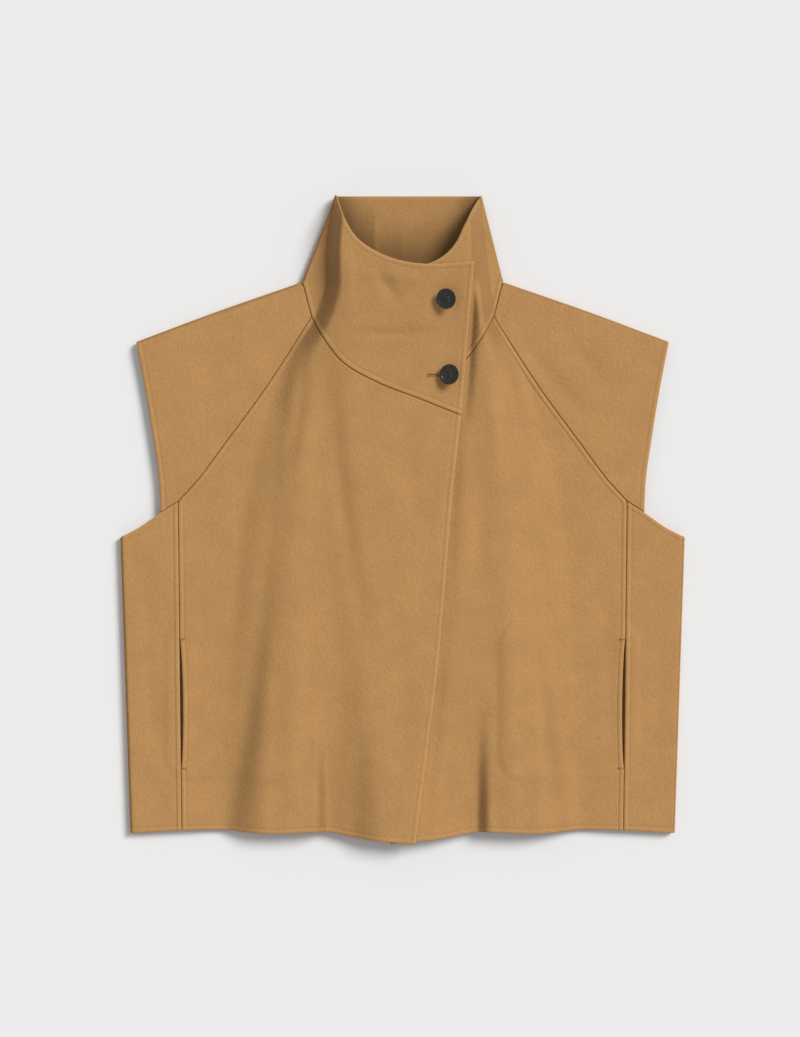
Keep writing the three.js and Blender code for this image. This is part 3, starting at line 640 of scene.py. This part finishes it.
# A turned four-hole button with a raised rim, made lying at the origin.
def makeButton(name, node, tilt):
    look = buttonLook
    deselectAll()
    bpy.ops.mesh.primitive_cylinder_add(vertices=72, radius=look["radius"] * mm, depth=look["thick"] * mm,
                                        location=(0, 0, look["thick"] / 2 * mm))
    button = bpy.context.object
    button.name = name
    bpy.ops.object.transform_apply(location=True)
    selectFaces(button, lambda face: face.normal.z > 0.9)
    bpy.ops.mesh.inset(thickness=look["rim"] * mm)
    bpy.ops.mesh.inset(thickness=look["wellSlope"] * mm)
    bpy.ops.transform.translate(value=(0, 0, -look["well"] * mm))
    bpy.ops.mesh.inset(thickness=look["dishInset"] * mm)
    bpy.ops.transform.translate(value=(0, 0, -look["dishDepth"] * mm))
    selectFaces(button, lambda face: face.normal.z < -0.9)
    bpy.ops.transform.resize(value=(look["baseShare"], look["baseShare"], 1))
    bpy.ops.object.mode_set(mode="OBJECT")
    applyModifier(button, "BEVEL", width=look["round"] * mm, segments=3, limit_method="ANGLE",
                  angle_limit=math.radians(22))
    places = [(x * look["holePitch"] / 2, y * look["holePitch"] / 2) for x in (-1, 1) for y in (-1, 1)]
    for x, y in places:
        deselectAll()
        bpy.ops.mesh.primitive_cylinder_add(vertices=20, radius=look["holeRadius"] * mm, depth=12 * mm,
                                            location=(x * mm, y * mm, 0))
        drill = bpy.context.object
        applyModifier(button, "BOOLEAN", object=drill, operation="DIFFERENCE", solver="EXACT")
        bpy.data.objects.remove(drill)
    deselectAll()
    button.select_set(True)
    bpy.context.view_layer.objects.active = button
    bpy.ops.object.shade_smooth_by_angle(angle=math.radians(35))
    threads = []
    level = (look["thick"] - look["well"] - look["strandSunk"]) * mm
    for y in (-1, 1):
        # Two strands lie side by side in each pair of holes.
        for shift in (-look["strandShift"], look["strandShift"]):
            deselectAll()
            bpy.ops.mesh.primitive_torus_add(
                major_segments=28, minor_segments=10, major_radius=look["holePitch"] / 2 * mm,
                minor_radius=look["threadRadius"] * mm,
                location=(0, (y * look["holePitch"] / 2 + shift) * mm, level))
            strand = bpy.context.object
            bpy.ops.object.mode_set(mode="EDIT")
            bpy.ops.transform.rotate(value=math.radians(90), orient_axis="X",
                                     center_override=strand.location)
            bpy.ops.transform.resize(value=(1, 1, look["strandFlat"]), center_override=strand.location)
            bpy.ops.object.mode_set(mode="OBJECT")
            bpy.ops.object.transform_apply(location=True)
            threads.append(strand)
    deselectAll()
    for strand in threads:
        strand.select_set(True)
    bpy.context.view_layer.objects.active = threads[0]
    bpy.ops.object.join()
    thread = bpy.context.object
    thread.name = name + "Thread"
    bpy.ops.object.shade_smooth()
    low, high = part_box(node)
    lean, way = (math.radians(angle) for angle in tilt)
    turn = Matrix.Rotation(lean, 4, Vector((-math.sin(way), math.cos(way), 0)))
    reach = look["thick"] / 2 * mm
    centre = (low + high) / 2
    place = Matrix.Translation(centre - turn @ Vector((0, 0, reach))) @ turn
    for piece in (button, thread):
        piece.data.transform(place)
        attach(piece, "root")
    return button, thread


# A closed round strand along a path of points in the frame, in metres.
def strandMesh(name, paths, radius, sides=8):
    vertices, faces = [], []
    for path in paths:
        path = np.array(path, float)
        along = np.gradient(path, axis=0)
        along /= np.linalg.norm(along, axis=1)[:, None]
        across = np.cross(along, [0, 0, 1.0])
        across /= np.maximum(np.linalg.norm(across, axis=1), 1e-9)[:, None]
        up = np.cross(across, along)
        first = len(vertices)
        for i, point in enumerate(path):
            taper = 0.45 if i in (0, len(path) - 1) else 1
            for k in range(sides):
                angle = 2 * math.pi * k / sides
                outward = across[i] * math.cos(angle) + up[i] * math.sin(angle)
                vertices.append(point + radius * taper * outward)
        for i in range(len(path) - 1):
            for k in range(sides):
                a, b = first + i * sides + k, first + i * sides + (k + 1) % sides
                faces.append((a, b, b + sides, a + sides))
        faces.append(tuple(first + k for k in reversed(range(sides))))
        faces.append(tuple(first + (len(path) - 1) * sides + k for k in range(sides)))
    mesh = bpy.data.meshes.new(name)
    mesh.from_pydata([tuple(v) for v in vertices], [], faces)
    piece = bpy.data.objects.new(name, mesh)
    bpy.context.scene.collection.objects.link(piece)
    deselectAll()
    piece.select_set(True)
    bpy.context.view_layer.objects.active = piece
    bpy.ops.object.mode_set(mode="EDIT")
    bpy.ops.mesh.select_all(action="SELECT")
    bpy.ops.mesh.normals_make_consistent(inside=False)
    bpy.ops.object.mode_set(mode="OBJECT")
    bpy.ops.object.shade_smooth()
    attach(piece, "root")
    return piece


def onSurface(height, points, lift):
    points = np.array(points, float)
    z = height(points[:, 0], points[:, 1]) + cloth["thick"] / 2 + lift
    return np.stack([points[:, 0], points[:, 1] + hemLine, z], -1) * mm


holeLook = dict(upper=(-11, 8), lower=(-24, 1.5), halfWidth=1.5, radius=0.5, gap=0.35, lift=0.1,
                barLift=0.25, barPast=0.4, barReach=0.9, stitches=26,
                cutRise=0.8, cutDepth=6)
tackLook = dict(length=6.5, radius=0.55, rows=3, rowGap=0.55, lift=0.45, past=0.5, inset=0.6)


# Worked buttonholes: a slit in the collar with close stitches round it and a bar at its end.
def cutButtonhole(collar, at, fromX, toX):
    deselectAll()
    level = float(overHeight(np.array([at[0]]), np.array([at[1]]))[0])
    middle = at[0] + (fromX + toX) / 2
    centre = (middle * mm, (at[1] + hemLine) * mm, (level + holeLook["cutRise"]) * mm)
    bpy.ops.mesh.primitive_cube_add(size=1, location=centre)
    cutter = bpy.context.object
    bpy.ops.transform.resize(value=((toX - fromX) * mm, holeLook["gap"] * 2 * mm, holeLook["cutDepth"] * mm))
    bpy.ops.object.transform_apply(location=True, scale=True)
    applyModifier(collar, "BOOLEAN", object=cutter, operation="DIFFERENCE", solver="EXACT")
    bpy.data.objects.remove(cutter)


def makeButtonholeThread(name, at, fromX, toX):
    width = holeLook["halfWidth"]
    count = holeLook["stitches"]
    xs = np.linspace(toX, fromX, count)
    run = [(at[0] + x, at[1] + width) for x in xs]
    run += [(at[0] + x, at[1] - width) for x in xs[::-1]]
    paths = [onSurface(overHeight, part, holeLook["lift"]) for part in (run[:count], run[count:])]
    reach = width + holeLook["barReach"]
    bar = [(at[0] + fromX - holeLook["barPast"], at[1] + y) for y in np.linspace(-reach, reach, 7)]
    paths.append(onSurface(overHeight, bar, holeLook["barLift"]))
    return strandMesh(name, paths, holeLook["radius"] * mm)


def makeBarTacks(side, name):
    sign, height = sides[side]["sign"], sides[side]["height"]
    (hemX, hemY), (topX, topY) = cut["sideSeamHem"], cut["sideSeamTop"]
    paths = []
    for y in (pocket["bottom"] - tackLook["past"], pocket["top"] + tackLook["past"]):
        for row in range(tackLook["rows"]):
            xs = np.linspace(hemX - tackLook["inset"], hemX - tackLook["length"], 9)
            xs = xs + (y - hemY) * (topX - hemX) / (topY - hemY)
            line = [(sign * x, y + (row - 1) * tackLook["rowGap"]) for x in xs]
            paths.append(onSurface(height, line, tackLook["lift"]))
    return strandMesh(name, paths, tackLook["radius"] * mm, sides=6)


upperButton, upperThread = makeButton("upperButton", "button_upper", buttonLook["tiltUpper"])
lowerButton, lowerThread = makeButton("lowerButton", "button_lower", buttonLook["tiltLower"])
for which in ("upper", "lower"):
    cutButtonhole(woolPieces["collar"], buttonPlaces[which], *holeLook[which])
holeThreads = [makeButtonholeThread(which + "ButtonholeThread", buttonPlaces[which], *holeLook[which])
               for which in ("upper", "lower")]
tacks = [makeBarTacks("right", "barTacksRight"), makeBarTacks("left", "barTacksLeft")]
print("buttons, buttonholes and bar tacks made")


# Colours are sRGB hex values; this turns them to linear.
def linear(code):
    values = [int(code[i:i + 2], 16) / 255 for i in (1, 3, 5)]
    return [v / 12.92 if v <= 0.04045 else ((v + 0.055) / 1.055) ** 2.4 for v in values] + [1]


def addNode(tree, kind, settings=None, **links):
    node = tree.nodes.new(kind)
    for name, value in (settings or {}).items():
        if name in node.inputs:
            node.inputs[name].default_value = value
        else:
            setattr(node, name, value)
    for name, source in links.items():
        socket = node.inputs[int(name[1:])] if name[1:].isdigit() else node.inputs[name.replace("_", " ")]
        tree.links.new(source, socket)
    return node


def newMaterial(name, **shader):
    material = bpy.data.materials.new(name)
    material.use_nodes = True
    bsdf = material.node_tree.nodes["Principled BSDF"]
    for socket, value in shader.items():
        bsdf.inputs[socket.replace("_", " ")].default_value = value
    return material, material.node_tree, bsdf


# groove is the colour of the shade painted into grooves and seams; pale is the pale fibres and also the light
# painted onto rims.
woolLook = dict(colour="#bb8d59", deep="#a87c49", pale="#c99c66", groove="#8a6238",
                paintedShadeFactor=0.36, nap=1.3, felt=5.0, mottle=26.0)  # nap, felt and mottle are sizes in mm


# Double-faced wool melton, milled and brushed: matt, with a short nap that glows a little seen from the side.
def makeWool(name, look, bumpHeight):
    material, tree, bsdf = newMaterial(name, Roughness=0.92, Sheen_Weight=0.12, Sheen_Roughness=0.45,
                                       Sheen_Tint=linear("#e8cfa8"), Specular_IOR_Level=0.12)
    place = addNode(tree, "ShaderNodeTexCoord").outputs["Object"]

    def noise(size, detail, roughness):
        settings = dict(Scale=1 / (size * mm), Detail=detail, Roughness=roughness)
        return addNode(tree, "ShaderNodeTexNoise", settings, Vector=place).outputs["Fac"]
    # The fibres are 0.02 mm thick; they are drawn as tufts over a millimetre across, to show at all.
    nap, felt, mottle = noise(look["nap"], 3, 0.7), noise(look["felt"], 4, 0.6), noise(look["mottle"], 3, 0.5)
    stretched = addNode(tree, "ShaderNodeMapping", dict(Scale=(1, 0.35, 1)), Vector=place).outputs["Vector"]
    strands = dict(Scale=1 / (look["nap"] * 0.8 * mm), Detail=2, Roughness=0.6, Distortion=1.2)
    hairs = addNode(tree, "ShaderNodeTexNoise", strands, Vector=stretched).outputs["Fac"]
    grain = addNode(tree, "ShaderNodeMath", dict(operation="ADD"), _0=nap, _1=hairs).outputs[0]

    def remap(value, low, high, toLow, toHigh):
        limits = {"From Min": low, "From Max": high, "To Min": toLow, "To Max": toHigh}
        return addNode(tree, "ShaderNodeMapRange", limits, Value=value).outputs[0]
    grainRamp = remap(grain, 0.7, 1.3, 0, 1)
    fine = addNode(tree, "ShaderNodeMix", dict(data_type="RGBA"), _0=grainRamp)
    fine.inputs[6].default_value, fine.inputs[7].default_value = linear(look["deep"]), linear(look["pale"])
    feltRamp = remap(felt, 0.3, 0.7, 0.35, 0.75)
    base = addNode(tree, "ShaderNodeMix", dict(data_type="RGBA"), _0=feltRamp, _6=fine.outputs[2])
    base.inputs[7].default_value = linear(look["colour"])
    mottleRamp = remap(mottle, 0.3, 0.7, 0.955, 1.035)
    # Shade put into the colour on the slopes of folds and inside the collar, on top of what the light casts.
    lean = addNode(tree, "ShaderNodeAttribute", dict(attribute_name="foldShade")).outputs["Fac"]
    paintedShadeRamp = remap(lean, 0, 2.0, 1.0, look["paintedShadeFactor"])
    mottleAndPaintedShade = addNode(tree, "ShaderNodeMath", dict(operation="MULTIPLY"), _0=mottleRamp, _1=paintedShadeRamp).outputs[0]
    mottledAndShadedColour = addNode(tree, "ShaderNodeVectorMath", dict(operation="SCALE"), Vector=base.outputs[2], Scale=mottleAndPaintedShade)
    # Painted shade in the grooves and seams beside edges, towards the groove colour, and painted light on
    # rims, puffs and bands, towards the pale colour.
    edge = addNode(tree, "ShaderNodeAttribute", dict(attribute_name="edgeShade")).outputs["Fac"]
    paintedSeamAndGrooveShade = remap(edge, 0, -1.0, 0, 0.55)
    shaded = addNode(tree, "ShaderNodeMix", dict(data_type="RGBA"), _0=paintedSeamAndGrooveShade, _6=mottledAndShadedColour.outputs[0])
    shaded.inputs[7].default_value = linear(look["groove"])
    paintedRimLight = remap(edge, 0, 1.0, 0, 0.5)
    withPaintedRimLight = addNode(tree, "ShaderNodeMix", dict(data_type="RGBA"), _0=paintedRimLight, _6=shaded.outputs[2])
    withPaintedRimLight.inputs[7].default_value = linear(look["pale"])
    tree.links.new(withPaintedRimLight.outputs[2], bsdf.inputs["Base Color"])
    relief = addNode(tree, "ShaderNodeMath", dict(operation="MULTIPLY_ADD"), _0=felt, _2=grain)
    relief.inputs[1].default_value = 1.6
    bump = addNode(tree, "ShaderNodeBump", dict(Strength=0.75, Distance=bumpHeight * mm),
                   Height=relief.outputs[0])
    tree.links.new(bump.outputs[0], bsdf.inputs["Normal"])
    return material


# Buffalo horn, turned and polished: near black, with faint brown streaks and a sharp gloss.
def makeHorn():
    material, tree, bsdf = newMaterial("polished buffalo horn", Roughness=0.24, IOR=1.56, Coat_Weight=0.3,
                                       Coat_Roughness=0.12)
    place = addNode(tree, "ShaderNodeTexCoord").outputs["Object"]
    stretched = addNode(tree, "ShaderNodeMapping", dict(Scale=(1, 0.22, 1)), Vector=place).outputs["Vector"]
    streak = addNode(tree, "ShaderNodeTexNoise", dict(Scale=1 / (2.2 * mm), Detail=5, Roughness=0.62),
                     Vector=stretched).outputs["Fac"]
    amount = addNode(tree, "ShaderNodeMapRange", {"From Min": 0.45, "From Max": 0.75},
                     Value=streak).outputs[0]
    tint = addNode(tree, "ShaderNodeMix", dict(data_type="RGBA"), _0=amount)
    tint.inputs[6].default_value, tint.inputs[7].default_value = linear("#171413"), linear("#352c27")
    tree.links.new(tint.outputs[2], bsdf.inputs["Base Color"])
    bump = addNode(tree, "ShaderNodeBump", dict(Strength=0.12, Distance=0.05 * mm), Height=streak)
    tree.links.new(bump.outputs[0], bsdf.inputs["Normal"])
    return material


# Twisted sewing thread: a soft gloss across the tiny ridges of its twist.
def makeThread(name, colour, deep):
    material, tree, bsdf = newMaterial(name, Roughness=0.6, Sheen_Weight=0.2, Specular_IOR_Level=0.35)
    place = addNode(tree, "ShaderNodeTexCoord").outputs["Object"]
    turns = dict(Scale=1 / (2.4 * mm), Distortion=1.5, bands_direction="DIAGONAL")
    twist = addNode(tree, "ShaderNodeTexWave", turns, Vector=place).outputs["Fac"]
    tint = addNode(tree, "ShaderNodeMix", dict(data_type="RGBA"), _0=twist)
    tint.inputs[6].default_value, tint.inputs[7].default_value = linear(deep), linear(colour)
    tree.links.new(tint.outputs[2], bsdf.inputs["Base Color"])
    bump = addNode(tree, "ShaderNodeBump", dict(Strength=0.4, Distance=0.1 * mm), Height=twist)
    tree.links.new(bump.outputs[0], bsdf.inputs["Normal"])
    return material


def dress(piece, material):
    piece.data.materials.clear()
    piece.data.materials.append(material)


melton = makeWool("double-faced wool melton", woolLook, 0.55)
bagWool = makeWool("thin felted wool", dict(woolLook, colour="#a67d54", nap=1.0), 0.3)
hornMaterial = makeHorn()
darkThread = makeThread("dark buttonhole thread", "#2c2624", "#14110f")
camelThread = makeThread("camel buttonhole thread", "#a97f55", "#7d5937")

# Flat size of each cut in metres and its area in square metres.
flatSizes = dict(
    back=("back", (0.494, 0.585), 0.248), frontRight=("front_right_over", (0.311, 0.579), 0.138),
    frontLeft=("front_left_under", (0.297, 0.579), 0.134),
    sidePanelRight=("side_panel_right", (0.125, 0.365), 0.042),
    sidePanelLeft=("side_panel_left", (0.125, 0.365), 0.042),
    sleeveRight=("sleeve_right", (0.33, 0.255), 0.048),
    sleeveLeft=("sleeve_left", (0.33, 0.255), 0.048), collar=("collar", (0.60, 0.245), 0.073))
for key, (node, flat, area) in flatSizes.items():
    piece = woolPieces[key]
    dress(piece, melton)
    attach(piece, "root")
    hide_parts(node)
for side, piece in bagPieces.items():
    dress(piece, bagWool)
    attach(piece, "root")
    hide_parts("pocket_bag_" + side)
for button, node in ((upperButton, "button_upper"), (lowerButton, "button_lower")):
    dress(button, hornMaterial)
    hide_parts(node)
for piece in (upperThread, lowerThread):
    dress(piece, darkThread)
for piece in (*holeThreads, *tacks):
    dress(piece, camelThread)
for node in ("thread_shank_upper", "thread_shank_lower"):
    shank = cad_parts[node]
    shank.data.materials.clear()
    shank.data.materials.append(darkThread)
print("materials set")

# Floor, light and camera; sizes in mm and angles in degrees.
studio = dict(floor="#ececec", worldStrength=0.44, sunStrength=2.75, sunAngle=24, sunLean=50, sunFrom=36,
              viewHeight=1140.7, viewLevel=10, distance=2010, shiftX=-2.75, sensor=36)
bpy.ops.mesh.primitive_plane_add(size=1, location=(0, 0, -0.0004))
floor = bpy.context.object
floor.name = "paleFloor"
floor.data.transform(Matrix.Diagonal((12, 12, 1, 1)))
floorMaterial, _, _ = newMaterial("pale paper floor", Roughness=0.9, Specular_IOR_Level=0.1,
                                  Base_Color=linear(studio["floor"]))
floor.data.materials.append(floorMaterial)

world = bpy.data.worlds.new("softStudio")
bpy.context.scene.world = world
world.use_nodes = True
background = world.node_tree.nodes["Background"]
background.inputs["Color"].default_value = (1, 1, 1, 1)
background.inputs["Strength"].default_value = studio["worldStrength"]
seen = addNode(world.node_tree, "ShaderNodeBackground", dict(Color=linear(studio["floor"]), Strength=1.0))
path = addNode(world.node_tree, "ShaderNodeLightPath").outputs["Is Camera Ray"]
either = addNode(world.node_tree, "ShaderNodeMixShader", _0=path, _1=background.outputs[0],
                 _2=seen.outputs[0])
world.node_tree.links.new(either.outputs[0], world.node_tree.nodes["World Output"].inputs[0])

sun = bpy.data.objects.new("keyLight", bpy.data.lights.new("keyLight", "SUN"))
sun.data.energy = studio["sunStrength"]
sun.data.angle = math.radians(studio["sunAngle"])
lean, way = math.radians(studio["sunLean"]), math.radians(studio["sunFrom"])
towards = Vector((math.sin(lean) * math.cos(way), math.sin(lean) * math.sin(way), math.cos(lean)))
sun.rotation_euler = towards.to_track_quat("Z", "Y").to_euler()
bpy.context.scene.collection.objects.link(sun)

camera = bpy.data.objects.new("camera", bpy.data.cameras.new("camera"))
camera.location = (studio["shiftX"] * mm, 0, studio["distance"] * mm)
camera.data.sensor_width = studio["sensor"]
camera.data.lens = studio["sensor"] * (studio["distance"] - studio["viewLevel"]) / studio["viewHeight"]
camera.data.clip_end = 50
bpy.context.scene.collection.objects.link(camera)
bpy.context.scene.camera = camera
bpy.context.scene.view_settings.view_transform = "Standard"
print("studio set")
